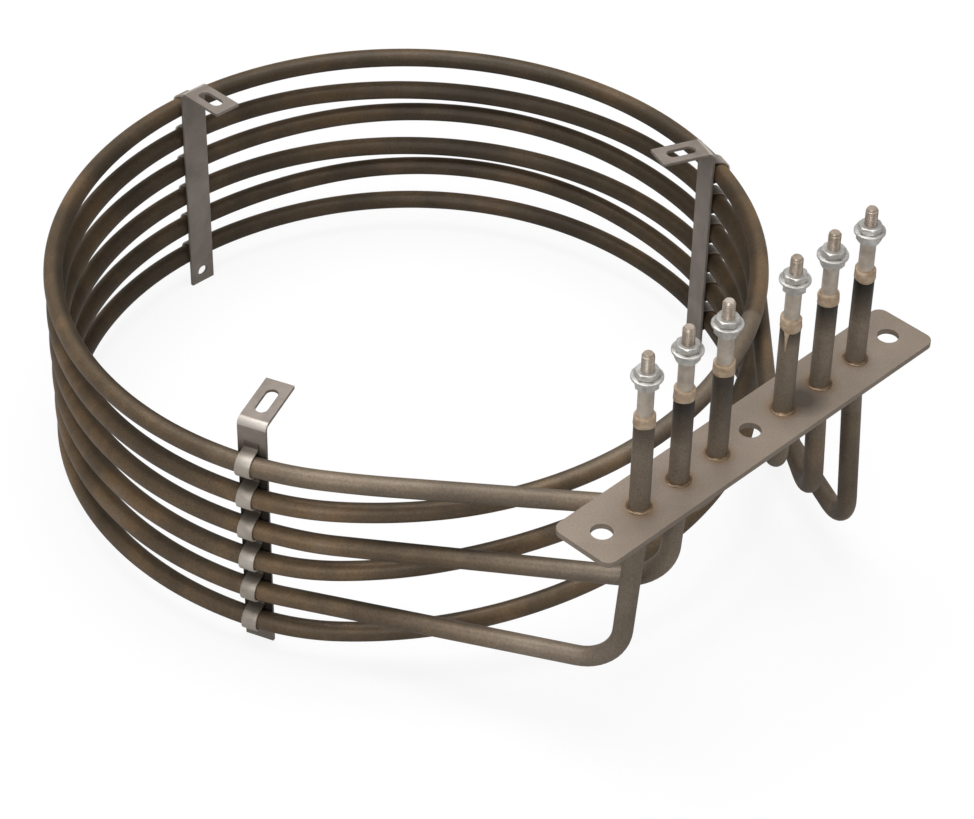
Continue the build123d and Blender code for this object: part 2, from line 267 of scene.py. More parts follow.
def ramp(tree, factor, stops):
    """Colour that runs from stop to stop; each stop is a place from 0 to 1 and a screen colour."""
    node = put(tree, "ShaderNodeValToRGB", {"Fac": factor})
    band = node.color_ramp
    while len(band.elements) < len(stops):
        band.elements.new(0.5)
    for element, (place, colour) in zip(band.elements, stops):
        element.position = place
        element.color = paint(*colour)
    return node.outputs["Color"]


def blend(tree, factor, first, second, how="MIX"):
    """Colour between two colours: the first where the factor is 0 and the second where it is 1."""
    return put(tree, "ShaderNodeMix", {0: factor, 6: first, 7: second},
               data_type="RGBA", blend_type=how).outputs[2]


def sum_up(tree, how, first, second=0.0):
    """One step of arithmetic on two values."""
    return put(tree, "ShaderNodeMath", {0: first, 1: second}, operation=how).outputs[0]


def spread(tree, value, low, high, to_low=0.0, to_high=1.0):
    """A value from low to high carried over to another range, and held at its ends."""
    return put(tree, "ShaderNodeMapRange", {"Value": value, "From Min": low, "From Max": high,
                                            "To Min": to_low, "To Max": to_high}).outputs[0]


def new_material(name, **surface):
    """A material with its Principled shader, whose constant sockets are set from the keywords."""
    material = bpy.data.materials.new(name)
    material.use_nodes = True
    shader = material.node_tree.nodes["Principled BSDF"]
    for socket, value in surface.items():
        shader.inputs[socket.replace("_", " ")].default_value = value
    return material, material.node_tree, shader


def metal_marks():
    """Marks that every worked metal surface here shares: fine grain, broad stains and a faint drawn
    line pattern. Out come masks of the first two, from 0 to 1, and a height for a Bump node, which
    is the grain and six tenths of the lines."""
    group = bpy.data.node_groups.new("Metal marks", "ShaderNodeTree")
    face = group.interface
    face.new_socket("Place", in_out="INPUT", socket_type="NodeSocketVector")
    for name, value in (("Grain scale", 2500.0), ("Stain scale", 40.0), ("Line stretch", 0.05)):
        face.new_socket(name, in_out="INPUT", socket_type="NodeSocketFloat").default_value = value
    for name in ("Grain", "Stain", "Height"):
        face.new_socket(name, in_out="OUTPUT", socket_type="NodeSocketFloat")
    come = put(group, "NodeGroupInput").outputs
    go = put(group, "NodeGroupOutput").inputs
    grain = put(group, "ShaderNodeTexNoise", {"Vector": come["Place"], "Scale": come["Grain scale"],
                                              "Detail": 3.0, "Roughness": 0.6})
    stain = put(group, "ShaderNodeTexNoise", {"Vector": come["Place"], "Scale": come["Stain scale"],
                                              "Detail": 5.0, "Roughness": 0.62, "Distortion": 0.4})
    stretch = put(group, "ShaderNodeCombineXYZ", {"X": 1.0, "Y": 1.0, "Z": come["Line stretch"]})
    drawn = put(group, "ShaderNodeVectorMath", {0: come["Place"], 1: stretch.outputs[0]},
                operation="MULTIPLY")
    lines = put(group, "ShaderNodeTexNoise", {"Vector": drawn.outputs[0], "Scale": 1400.0,
                                              "Detail": 2.0})
    grain_mask = spread(group, grain.outputs[0], 0.3, 0.7)
    line_mask = spread(group, lines.outputs[0], 0.3, 0.7)
    stain_mask = spread(group, stain.outputs[0], 0.28, 0.72)
    height = sum_up(group, "ADD", grain_mask, sum_up(group, "MULTIPLY", line_mask, 0.6))
    for name, value in (("Grain", grain_mask), ("Stain", stain_mask), ("Height", height)):
        group.links.new(value, go[name])
    return group


marks = metal_marks()


def marked(tree, stain_scale, grain_scale=2500.0):
    """The place on the piece, and the metal marks there."""
    place = put(tree, "ShaderNodeTexCoord").outputs["Object"]
    worn = put(tree, "ShaderNodeGroup", node_tree=marks)
    tree.links.new(place, worn.inputs["Place"])
    worn.inputs["Grain scale"].default_value = grain_scale
    worn.inputs["Stain scale"].default_value = stain_scale
    return place, worn.outputs


def finish_metal(tree, shader, worn, body, shade, rough, rough_by="Grain", relief=(0.2, 0.00005)):
    """Wires up worked metal: its colour times a shade that follows the grain, its roughness along
    one of the marks, and the marks' height as relief, given by strength and by depth in metres."""
    light = spread(tree, worn["Grain"], 0.0, 1.0, *shade)
    grey = put(tree, "ShaderNodeCombineColor", {0: light, 1: light, 2: light}).outputs[0]
    tree.links.new(blend(tree, 1.0, body, grey, "MULTIPLY"), shader.inputs["Base Color"])
    tree.links.new(spread(tree, worn[rough_by], 0.0, 1.0, *rough), shader.inputs["Roughness"])
    strength, depth = relief
    bump = put(tree, "ShaderNodeBump", {"Strength": strength, "Distance": depth,
                                        "Height": worn["Height"]})
    tree.links.new(bump.outputs[0], shader.inputs["Normal"])


def sheath_material():
    """Oxidised tube: warm brown with greyer stretches, paler by the flange, where it stays
    unheated, though painted shade under the plate keeps the right legs darker, and burnt black just
    under each seal. The side that faces the coil's axis is darker: painted shade of the coil's
    inside.
    Attributes carry how pale, how burnt and how far towards the axis a place faces."""
    material, tree, shader = new_material("sheath oxide", Metallic=0.2, Specular_IOR_Level=0.35)
    worn = marked(tree, 26.0, 1500.0)[1]
    cold_and_flange_shade, burnt, inside = (put(tree, "ShaderNodeAttribute", attribute_name=name).outputs["Fac"]
                           for name in ("cold_and_flange_shade", "burnt", "inside"))
    oxide = ramp(tree, worn["Stain"], [(0.0, (76, 64, 50)), (0.45, (100, 84, 65)),
                                       (0.7, (120, 97, 71)), (1.0, (122, 107, 90))])
    # Painted shade: the colour for the side of the tube that faces the coil's axis.
    painted_inner_shade = ramp(tree, worn["Stain"], [(0.0, (52, 44, 32)), (0.5, (68, 56, 41)),
                                        (1.0, (92, 73, 51))])
    pale = ramp(tree, worn["Stain"], [(0.0, (108, 97, 84)), (0.6, (126, 113, 98)),
                                      (1.0, (140, 125, 108))])
    body = blend(tree, cold_and_flange_shade, blend(tree, inside, oxide, painted_inner_shade), pale)
    body = blend(tree, burnt, body, paint(34, 28, 21))
    finish_metal(tree, shader, worn, body, (0.78, 1.18), (0.55, 0.42), "Stain", (0.3, 0.00008))
    return material


def sheath_rings(heater):
    """The tube's skin: rings of a fixed radius square to the centreline, turned so that the first
    point of each faces the coil's axis. At both open ends the rings go over the wall's lip and down
    into the bore; their depths and radii are listed from the inside out."""
    line = heater_line(heater)
    way = unit(np.gradient(line, axis=0))
    inward = coil_middle * (1, 1, 0) - line * (1, 1, 0)
    across = unit(inward - (inward * way).sum(1, keepdims=True) * way)
    side = np.cross(way, across)
    lip_depth = np.array([4.2, 4.2, 0.3, 0.06, 0.0, 0.0, 0.08, 0.25])
    lip_r = np.array([1.0, tube_bore_r, tube_bore_r, tube_bore_r + 0.03, tube_bore_r + 0.12,
                      tube_r - 0.14, tube_r - 0.04, tube_r])
    rows = len(lip_r)
    drop = lip_depth[:, None] * (0, 0, -1)
    line = np.concatenate([line[0] + drop, line[1:-1], line[-1] + drop[::-1]])
    across, side = (np.concatenate([np.repeat(ways[:1], rows, 0), ways[1:-1],
                                    np.repeat(ways[-1:], rows, 0)]) for ways in (across, side))
    size = np.concatenate([lip_r, np.full(len(line) - 2 * rows, tube_r), lip_r[::-1]])
    turn = np.linspace(0, 2 * np.pi, tube_sides, endpoint=False)[None, :, None]
    spoke = across[:, None] * np.cos(turn) + side[:, None] * np.sin(turn)
    return line[:, None] + spoke * size[:, None, None]


oxide = sheath_material()
burn_depth = np.array([8.0, 15.0, 21.0, 6.0, 10.0, 15.0])       # under each terminal's seal
burn_strength = np.array([0.55, 0.95, 0.8, 0.75, 0.9, 1.0])
for heater in range(3):
    rings = sheath_rings(heater)
    tube = skin(f"heater_sheath_{heater + 1}", rings, [f"sheath_{heater + 1}"],
                oxide)
    xyz = np.concatenate([rings.reshape(-1, 3), rings[:1].mean(1), rings[-1:].mean(1)])
    x, z = xyz[:, 0], xyz[:, 2]
    from_coil = np.hypot(x - coil_offset, xyz[:, 1] - coil_reach) - coil_r
    # Painted shade: how far each point faces the coil's axis, which darkens that side.
    facing = np.cos(np.linspace(0, 2 * np.pi, tube_sides, endpoint=False))
    inside = np.clip(0.5 + 1.1 * np.append(np.tile(facing, len(rings)), (0.0, 0.0)), 0, 1)
    # A leg is pale from 6 to 28 mm outside the coil, where it stays unheated; below the flange the
    # right legs are kept darker, as painted shade under the plate. The highest turn also stays
    # unheated and pale on its run from the front bracket to the flange.
    cold_and_flange_shade = np.clip((from_coil - 6) / 22, 0, 1) * np.where((x > 0) & (z < -2), 0.35, 1)
    swing = np.degrees(np.arctan2(xyz[:, 1] - coil_reach, x - coil_offset)) % 360
    upper_run = np.clip((swing - 192) / 22, 0, 1) * np.clip(1.8 - (top_turn_z - z) / 4, 0, 1)
    cold_and_flange_shade = np.maximum(cold_and_flange_shade, 0.7 * upper_run * (swing < 300))
    terminal = np.where(x < 0, 2 - heater, 3 + heater)
    burnt = np.clip(1.15 - (sheath_top - z) / burn_depth[terminal], 0, 1) ** 0.8
    burnt = burnt * burn_strength[terminal] * (from_coil > 20)
    for name, values in (("cold_and_flange_shade", cold_and_flange_shade), ("burnt", burnt), ("inside", inside)):
        attribute = tube.data.attributes.new(name, "FLOAT", "POINT")
        attribute.data.foreach_set("value", values.astype(np.float32))

# ---- Flange plate --------------------------------------------------------------------------------
# A 2 mm stainless plate with rounded corners, laser-cut and then blasted to a dull warm grey. Its
# cut edges are slightly rounded, and it is tinted brown where the sheaths are brazed into it.
terminal_gap = 17.5                 # between neighbouring terminals on one side
first_terminal = 15.25              # from the flange's middle
smoke_place = (22.8, -1.2)          # beside the fourth sheath


def softened(name, node, material, width):
    """A copy of a CAD solid with its loose triangles merged and its sharp edges rounded."""
    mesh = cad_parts[node].data.copy()
    mesh.name = name
    piece = fastened(name, mesh, [node], material)
    merge = piece.modifiers.new("merge", "WELD")
    merge.merge_threshold = 1e-6
    edge = piece.modifiers.new("edge", "BEVEL")
    edge.width = width / 1000
    edge.segments = 3
    edge.limit_method = "ANGLE"
    edge.angle_limit = math.radians(40)
    edge.use_clamp_overlap = True


def plate_material():
    """Blasted steel: fine grain, faint broad stains, a brown ring of heat tint round every sheath
    that fades away by 6.4 mm from its middle, and one dark smoke stain. The nearest sheath's place
    is the distance from the flange's middle rounded to a whole number of terminal gaps, at most
    two."""
    material, tree, shader = new_material("flange steel", Metallic=0.3, Specular_IOR_Level=0.4)
    place, worn = marked(tree, 30.0, 1700.0)
    base = ramp(tree, worn["Stain"], [(0.0, (128, 116, 103)), (0.5, (137, 124, 111)),
                                      (1.0, (147, 134, 121))])
    gap, first = terminal_gap / 1000, first_terminal / 1000
    axes = put(tree, "ShaderNodeSeparateXYZ", {"Vector": place}).outputs
    x, y = sum_up(tree, "ABSOLUTE", axes["X"]), axes["Y"]
    count = sum_up(tree, "ROUND", sum_up(tree, "DIVIDE", sum_up(tree, "SUBTRACT", x, first), gap))
    count = sum_up(tree, "MINIMUM", sum_up(tree, "MAXIMUM", count, 0.0), 2.0)
    nearest = sum_up(tree, "ADD", sum_up(tree, "MULTIPLY", count, gap), first)
    dx = sum_up(tree, "SUBTRACT", x, nearest)
    away = sum_up(tree, "SQRT", sum_up(tree, "ADD", sum_up(tree, "MULTIPLY", dx, dx),
                                       sum_up(tree, "MULTIPLY", y, y)))
    away = sum_up(tree, "ADD", away, spread(tree, worn["Stain"], 0.0, 1.0, -0.0008, 0.0008))
    tint = spread(tree, away, 0.0040, 0.0064, 0.5, 0.0)
    body = blend(tree, tint, base, paint(132, 101, 66))
    middle = (smoke_place[0] / 1000, smoke_place[1] / 1000, 0.0)
    reach = put(tree, "ShaderNodeVectorMath", {0: place, 1: middle}, operation="DISTANCE")
    ragged = spread(tree, worn["Stain"], 0.0, 1.0, -0.0012, 0.0012)
    reach = sum_up(tree, "ADD", reach.outputs["Value"], ragged)
    smoke = spread(tree, reach, 0.0030, 0.0098, 0.9, 0.0)
    body = blend(tree, smoke, body, paint(66, 58, 49))
    finish_metal(tree, shader, worn, body, (0.9, 1.08), (0.62, 0.48), relief=(0.35, 0.00008))
    return material


softened("terminal_flange", "flange_plate", plate_material(), 0.25)

# ---- Braze beads ---------------------------------------------------------------------------------
# A small uneven fillet of braze closes the joint between each sheath and the plate. Its edge has
# run a little further in some places than in others, and it has turned orange-brown in the furnace.
braze_sides = 72                    # points round a bead
fillet_leg = 0.78
countersink_depth = 0.56            # of the plate round each sheath


def braze_material():
    """Braze: browns and tans in small stains, which also give its relief, with a fine sheen."""
    material, tree, shader = new_material("braze bead", Metallic=0.45)
    worn = marked(tree, 220.0)[1]
    colour = ramp(tree, worn["Stain"], [(0.0, (96, 78, 60)), (0.5, (122, 101, 78)),
                                        (0.8, (142, 120, 94)), (1.0, (158, 140, 116))])
    tree.links.new(colour, shader.inputs["Base Color"])
    tree.links.new(spread(tree, worn["Grain"], 0.0, 1.0, 0.42, 0.3), shader.inputs["Roughness"])
    bump = put(tree, "ShaderNodeBump", {"Strength": 0.4, "Distance": 0.0001,
                                        "Height": worn["Stain"]})
    tree.links.new(bump.outputs[0], shader.inputs["Normal"])
    return material


def braze_rings(x, seed):
    """A quarter-round hollow fillet carried round the sheath: its two legs grow and shrink with a
    sum of three sines of the angle, and its hidden underside fills the plate's countersink."""
    turn = np.linspace(0, 2 * np.pi, braze_sides, endpoint=False)
    chance = np.random.default_rng(seed)
    leg = fillet_leg + sum(a * np.sin(k * turn + chance.uniform(0, 6.3))
                           for k, a in ((2, 0.09), (3, 0.07), (5, 0.04)))
    bend = np.linspace(0, np.pi / 2, 7)
    inner, level = np.full(braze_sides, tube_r + 0.03), np.zeros(braze_sides)
    fillet_r = [inner + leg * (1 - np.sin(b)) for b in bend]
    fillet_z = [leg * (1 - np.cos(b)) for b in bend]
    radius = np.stack([inner + 0.02, inner + leg * 0.98] + fillet_r + [inner])
    height = np.stack([level - countersink_depth, level - 0.02] + fillet_z + [level + 0.2])
    return np.stack([x + radius * np.cos(turn), radius * np.sin(turn), height], -1)


def loop_skin(name, shells, nodes, material):
    """Like skin, for one or more shells whose rings close on themselves as a whole: in each, the
    last ring joins the first."""
    corners, faces, first = [], [], 0
    for rings in shells:
        n, m = rings.shape[:2]
        corners.append(rings.reshape(-1, 3) / 1000)
        faces += (ring_quads(n, m, looped=True) + first).tolist()
        first += n * m
    mesh = bpy.data.meshes.new(name)
    mesh.from_pydata(np.concatenate(corners), [], faces)
    return fastened(name, smoothed(mesh), nodes, material)


bead = braze_material()
for number, x in enumerate(terminals, 1):
    loop_skin(f"braze_bead_{number}", [braze_rings(x, number)], [f"braze_ring_{number}"],
              bead)

# ---- Seals ---------------------------------------------------------------------------------------
# Tan silicone compound, smeared by hand into the open end of each sheath and round the foot of its
# bush, where it has set as a lumpy collar. On the fourth terminal a drop has run down the sheath.
seal_sides = 64                     # points round a collar
drip_terminal, drip_angle, drip_length = 4, 200.0, 8.5


def seal_material():
    """Cured compound: tans in a lumpy noise that also gives its relief."""
    material, tree, shader = new_material("sealing compound", Roughness=0.55,
                                          Specular_IOR_Level=0.35)
    place = put(tree, "ShaderNodeTexCoord").outputs["Object"]
    lumps = put(tree, "ShaderNodeTexNoise", {"Vector": place, "Scale": 420.0, "Detail": 5.0,
                                             "Roughness": 0.6}).outputs[0]
    tree.links.new(ramp(tree, lumps, [(0.3, (150, 126, 102)), (0.5, (178, 155, 130)),
                                      (0.7, (196, 176, 152))]), shader.inputs["Base Color"])
    bump = put(tree, "ShaderNodeBump", {"Strength": 0.5, "Distance": 0.0002, "Height": lumps})
    tree.links.new(bump.outputs[0], shader.inputs["Normal"])
    return material


def seal_rings(x, seed, dripping):
    """A collar turned round the terminal's axis: its profile swells over the sheath's lip and draws
    in to the bush. Sums of sines in the angle make its side, its hem and its top edge uneven, and a
    drip lowers the hem along a bell curve of the angle from the drip's own."""
    turn = np.linspace(0, 2 * np.pi, seal_sides, endpoint=False)
    chance = np.random.default_rng(40 + seed)
    radius = np.array([2.4, 3.2, 3.28, 3.4, 3.42, 3.4, 3.4, 3.4, 3.36, 3.2, 2.95, 2.72, 2.58, 2.3])
    height = np.array([32.2, 32.2, 32.25, 32.4, 32.9, 33.6, 34.5, 35.4, 35.9, 36.15, 36.2, 36.3,
                       36.55, 36.6])
    wave = sum(a * np.sin(k * turn[None] + chance.uniform(0, 6.3)
                          + height[:, None] * chance.uniform(0.4, 1.4))
               for k, a in ((1, 0.04), (2, 0.04), (3, 0.03), (5, 0.02), (7, 0.015)))
    held = np.clip((height - 32.3) / 0.6, 0, 1) * np.clip((36.2 - height) / 0.5, 0, 1)
    out = radius[:, None] + wave * held[:, None]
    hem = sum(a * np.sin(k * turn + chance.uniform(0, 6.3))
              for k, a in ((1, 0.25), (2, 0.2), (3, 0.12)))
    if dripping:
        off_drip = np.angle(np.exp(1j * (turn - math.radians(drip_angle))))
        hem = hem - drip_length * np.exp(-((off_drip / 0.13) ** 2))
    top = sum(a * np.sin(k * turn + chance.uniform(0, 6.3))
              for k, a in ((1, 0.32), (2, 0.2), (4, 0.1)))
    low = np.clip((34.2 - height) / 2.0, 0, 1)
    high = np.clip((height - 34.6) / 1.3, 0, 1) * np.clip((36.6 - height) / 0.3, 0, 1)
    z = height[:, None] + low[:, None] * hem + high[:, None] * top
    return np.stack([x + out * np.cos(turn), out * np.sin(turn), z], -1)


silicone = seal_material()
for number, x in enumerate(terminals, 1):
    skin(f"seal_collar_{number}", seal_rings(x, number, number == drip_terminal),
         [f"seal_{number}"], silicone)

# ---- Ceramic bushes ------------------------------------------------------------------------------
# Short steatite tubes, pressed and fired, that keep the pins clear of the sheaths. They are beige
# with a thin glaze, a little darker where they were handled, and their top edge is rounded.
bush_r = [2.5, 2.5, 2.48, 2.42, 2.3, 2.15, 1.45, 1.4, 1.4]
bush_z = [35.0, 46.5, 46.66, 46.78, 46.87, 46.9, 46.9, 46.84, 35.0]


def bush_material():
    """Glazed steatite: beiges in a soft cloud, which also gives its roughness and faint relief."""
    material, tree, shader = new_material("steatite", Coat_Weight=0.25, Coat_Roughness=0.2)
    place = put(tree, "ShaderNodeTexCoord").outputs["Object"]
    cloud = put(tree, "ShaderNodeTexNoise", {"Vector": place, "Scale": 260.0,
                                             "Detail": 4.0}).outputs[0]
    tree.links.new(ramp(tree, cloud, [(0.3, (162, 149, 134)), (0.55, (184, 171, 156)),
                                      (0.75, (200, 190, 177))]), shader.inputs["Base Color"])
    tree.links.new(spread(tree, cloud, 0.3, 0.7, 0.38, 0.5), shader.inputs["Roughness"])
    bump = put(tree, "ShaderNodeBump", {"Strength": 0.2, "Distance": 0.0001, "Height": cloud})
    tree.links.new(bump.outputs[0], shader.inputs["Normal"])
    return material


def turned(x, radius, height, sides=48):
    """A profile of radii and heights carried round a terminal's axis."""
    turn = np.linspace(0, 2 * np.pi, sides, endpoint=False)
    radius, height = np.asarray(radius, float)[:, None], np.asarray(height, float)[:, None]
    return np.stack([x + radius * np.cos(turn), radius * np.sin(turn), height + 0 * turn], -1)


steatite = bush_material()
for number, x in enumerate(terminals, 1):
    loop_skin(f"bush_tube_{number}", [turned(x, bush_r, bush_z)],
              [f"ceramic_bush_{number}"], steatite)

# ---- Terminal studs ------------------------------------------------------------------------------
# Cold pins of plain steel wire whose upper end is rolled with an M4 thread. The thread is bright on
# its crests and has picked up a warm tone from the furnace.
shank_r = 1.3                       # of the pin inside the sheath and the bush
shank_top = 46.8
root_r = 1.68                       # at the bottom of the thread
thread_height = 0.32
thread_pitch = 0.7
thread_low, thread_high = 47.0, 58.75
stud_top = 59.1
stud_sides = 40


def steel_material(name, dark, middle, light, metal, rough, stain):
    """Bright worked steel: three tones in broad stains, fine grain and faint lines."""
    material, tree, shader = new_material(name, Metallic=metal)
    worn = marked(tree, stain)[1]
    colour = ramp(tree, worn["Stain"], [(0.1, dark), (0.5, middle), (0.9, light)])
    finish_metal(tree, shader, worn, colour, (0.93, 1.05), rough)
    return material


def stud_rings(x, lead):
    """Thread: the radius follows a rounded triangle wave of the height less the angle's share of
    the pitch, fading out at both ends. Below it the plain shank runs down into the sheath, and the
    tip is drawn in to a chamfer."""
    turn = np.linspace(0, 2 * np.pi, stud_sides, endpoint=False)
    z = np.concatenate([[-3.0, -3.0], np.linspace(0, shank_top, 12), np.linspace(46.9, 58.6, 170),
                        [58.85, stud_top, stud_top]])
    phase = (z[:, None] / thread_pitch - (turn[None] + lead) / (2 * np.pi)) % 1.0
    wave = np.clip(1.35 * (1 - np.abs(2 * phase - 1)) - 0.15, 0, 1)
    amount = np.clip((z - thread_low) / 0.5, 0, 1) * np.clip((thread_high - z) / 0.5, 0, 1)
    radius = np.where(z < shank_top + 0.05, shank_r, root_r)[:, None]
    radius = radius + thread_height * wave * amount[:, None]
    radius = np.minimum(radius, np.interp(z, [58.3, stud_top], [2.0, 1.45])[:, None])
    radius[[0, -1]] = 0.4
    return np.stack([x + radius * np.cos(turn), radius * np.sin(turn), z[:, None] + 0 * turn], -1)


pin_steel = steel_material("pin steel", (150, 134, 118), (178, 163, 147), (205, 194, 180), 0.55,
                           (0.34, 0.42), 160.0)
for number, x in enumerate(terminals, 1):
    skin(f"threaded_stud_{number}", stud_rings(x, number), [f"terminal_pin_{number}"],
         pin_steel)

# ---- Nuts and washers ----------------------------------------------------------------------------
# Each stud carries a full hexagon nut, a flat washer and a thin nut, all stamped from steel and
# plated with zinc. The nuts' corners are chamfered at 32 degrees, which leaves curved edges on
# their flats.
half_flats = 3.5                    # from a nut's axis to its flats
chamfer_r = 3.32                    # of the chamfer's cone at each end of a nut
chamfer_angle = math.radians(32)
nut_bore_r, nut_mouth_r = 1.85, 2.05
nut_sides, washer_sides = 96, 64
nut_z, nut_height = 46.9, 3.2
washer_z = 50.1
thin_nut_z, thin_nut_height = 50.9, 2.2
washer_r = [2.15, 2.2, 4.8, 4.91, 4.95, 4.95, 4.91, 4.8, 2.2, 2.15]
washer_rise = [0.05, 0.0, 0.0, 0.04, 0.15, 0.65, 0.76, 0.8, 0.8, 0.75]


def nut_rings(x, low, height, turned_by):
    """Hexagon nut: at each angle the outside is the nearer of the flat, at its across-flats
    distance over the cosine of the angle from its middle, and of the cone that cuts both ends'
    corners. The bore opens into a small mouth at both ends."""
    turn = np.linspace(0, 2 * np.pi, nut_sides, endpoint=False)
    flat = half_flats / np.cos((turn + np.pi / 6) % (np.pi / 3) - np.pi / 6)
    rise = np.array([0.0, 0.0, 0.05, 0.12, 0.2, 0.3, 0.42, 0.55])
    rise = np.concatenate([rise, (height - rise)[::-1]])
    cone = chamfer_r + np.minimum(rise, height - rise) / math.tan(chamfer_angle)
    outside = np.minimum(flat[None], cone[:, None])
    bore = np.full((1, nut_sides), nut_bore_r)
    mouth = np.full((1, nut_sides), nut_mouth_r)
    radius = np.concatenate([bore, mouth, outside, mouth, bore])
    z = np.concatenate([[0.2, 0.0], rise, [height, height - 0.2]])[:, None]
    angle = turn + turned_by
    return np.stack([x + radius * np.cos(angle), radius * np.sin(angle), low + z + 0 * turn], -1)


zinc = steel_material("zinc plate", (160, 156, 150), (190, 187, 182), (214, 212, 208), 0.55,
                      (0.3, 0.38), 240.0)
nut_turns = [math.radians(17 * number) for number in range(1, 7)]
full_nuts = [nut_rings(x, nut_z, nut_height, turn) for x, turn in zip(terminals, nut_turns)]
thin_nuts = [nut_rings(x, thin_nut_z, thin_nut_height, 2 * turn)
             for x, turn in zip(terminals, nut_turns)]
washers = [turned(x, washer_r, washer_z + np.array(washer_rise), washer_sides) for x in terminals]
loop_skin("full_hex_nuts", full_nuts, ["lower_nuts"], zinc)
loop_skin("thin_hex_nuts", thin_nuts, ["upper_nuts"], zinc)
loop_skin("flat_washers", washers, ["washers"], zinc)

# ---- Brackets ------------------------------------------------------------------------------------
# Three strips of 1.2 mm stainless sheet stand inside the coil, each bent inwards at the top into a
# flange with a slot for a fixing screw. The sheet is dull grey, with a painted highlight round the
# bend and painted shadow, nearly black, on the side that lies against the turns.
seat_gap = 0.2                      # between a turn and the sheets on both sides of it
bracket_tops = {"front": 14.3, "left": 8.9, "right": 10.8}      # above the highest turn
bracket_foot_drop = 11.8            # below the lowest turn


def coil_distance():
    """Distance from the coil's axis: the length of the level part of the way from it, in metres."""
    group = bpy.data.node_groups.new("Distance from the coil's axis", "ShaderNodeTree")
    group.interface.new_socket("Place", in_out="INPUT", socket_type="NodeSocketVector")
    group.interface.new_socket("Distance", in_out="OUTPUT", socket_type="NodeSocketFloat")
    place = put(group, "NodeGroupInput").outputs["Place"]
    axis = (coil_offset / 1000, coil_reach / 1000, 0.0)
    away = put(group, "ShaderNodeVectorMath", {0: place, 1: axis}, operation="SUBTRACT").outputs[0]
    level = put(group, "ShaderNodeVectorMath", {0: away, 1: (1.0, 1.0, 0.0)}, operation="MULTIPLY")
    length = put(group, "ShaderNodeVectorMath", {0: level.outputs[0]}, operation="LENGTH")
    group.links.new(length.outputs["Value"], put(group, "NodeGroupOutput").inputs["Distance"])
    return group


from_axis = coil_distance()


def bracket_material(place, bend_z):
    """Dull sheet steel. On its outer side, between the highest and the lowest turn, it is painted
    nearly black as shadow. A narrow band round the bend is painted bright as a highlight: there the
    distance from the coil's axis and the height add up to 1.4 mm less than at the outer faces'
    sharp corner."""
    material, tree, shader = new_material(f"bracket sheet {place}", Metallic=0.4)
    spot, worn = marked(tree, 60.0)
    sheet = ramp(tree, worn["Stain"], [(0.1, (126, 117, 108)), (0.5, (141, 131, 122)),
                                       (0.9, (154, 144, 135))])
    radius = put(tree, "ShaderNodeGroup", {"Place": spot}, node_tree=from_axis).outputs["Distance"]
    height = put(tree, "ShaderNodeSeparateXYZ", {"Vector": spot}).outputs["Z"]
    face = (coil_r - tube_r - seat_gap) / 1000
    top, foot = top_turn_z / 1000, lowest_turn_z / 1000
    # Painted shadow: the outer side between the highest and the lowest turn is painted nearly
    # black.
    outer_side = spread(tree, radius, face - 0.0004, face - 0.0001)
    below_top = spread(tree, height, top + 0.001, top + 0.006, 1.0, 0.0)
    above_foot = spread(tree, height, foot - 0.006, foot - 0.002)
    painted_shadow = sum_up(tree, "MULTIPLY", sum_up(tree, "MULTIPLY", outer_side, below_top), above_foot)
    body = blend(tree, sum_up(tree, "MULTIPLY", painted_shadow, 0.88), sheet, paint(46, 40, 33))
    # Painted highlight: a bright band round the bend of the flange.
    to_bend = sum_up(tree, "SUBTRACT", sum_up(tree, "ADD", radius, height),
                     face + bend_z / 1000 - 0.0014)
    band = spread(tree, sum_up(tree, "ABSOLUTE", to_bend), 0.0004, 0.0009, 1.0, 0.0)
    painted_bend_highlight = sum_up(tree, "MULTIPLY", band, spread(tree, radius, face - 0.0026, face - 0.0022))
    body = blend(tree, painted_bend_highlight, body, paint(196, 188, 179))
    finish_metal(tree, shader, worn, body, (0.93, 1.05), (0.46, 0.58))
    return material


for place, above_turn in bracket_tops.items():
    sheet_steel = bracket_material(place, top_turn_z + above_turn)
    softened(f"coil_bracket_{place}", f"bracket_{place}", sheet_steel, 0.15)

# ---- Retaining strips ----------------------------------------------------------------------------
# A thin bright stainless strip is pressed into waves over the six turns at each bracket and
# spot-welded to it in the valleys, so that every turn is held in its own pocket.
strip_half_width, strip_half_thick = 2.6, 0.35
strip_edge_r = 0.18
strip_wrap = 80.0                   # how far it follows a turn each side of its outermost point
strip_fold_r = 0.6
strip_head = 6.4                    # above the highest turn
strip_tail = 5.0                    # below the lowest turn


def strip_line(spacing=0.35):
    """The strip's middle line in a plane through the coil's axis, as radii and heights: flats on
    the bracket, folds, and arcs over each turn."""
    wrap_r = tube_r + seat_gap + strip_half_thick
    face_r = coil_r - tube_r - seat_gap + strip_half_thick
    wrap = math.radians(strip_wrap)
    wrap_end_r, wrap_end_z = coil_r + wrap_r * math.cos(wrap), wrap_r * math.sin(wrap)
    fold_z = wrap_end_z + (wrap_end_r - face_r) / math.tan(wrap)
    sweep = np.linspace(wrap, -wrap, 28)
    parts, last = [], [(face_r, 0, top_turn_z + strip_head)]
    for turn in range(6):
        z = top_turn_z - turn * turn_spacing
        to_wrap = last + [(face_r, 0, z + fold_z), (wrap_end_r, 0, z + wrap_end_z)]
        parts += rounded_line(to_wrap, [strip_fold_r] * (len(to_wrap) - 2), spacing)
        parts.append(np.stack([coil_r + wrap_r * np.cos(sweep), 0 * sweep,
                               z + wrap_r * np.sin(sweep)], -1))
        last = [(wrap_end_r, 0, z - wrap_end_z), (face_r, 0, z - fold_z)]
    tail = (face_r, 0, lowest_turn_z - strip_tail)
    line = joined(parts + rounded_line(last + [tail], [strip_fold_r], spacing))
    steps = np.linalg.norm(np.diff(line, axis=0), axis=1)
    return line[np.concatenate([[True], steps > 1e-6])]


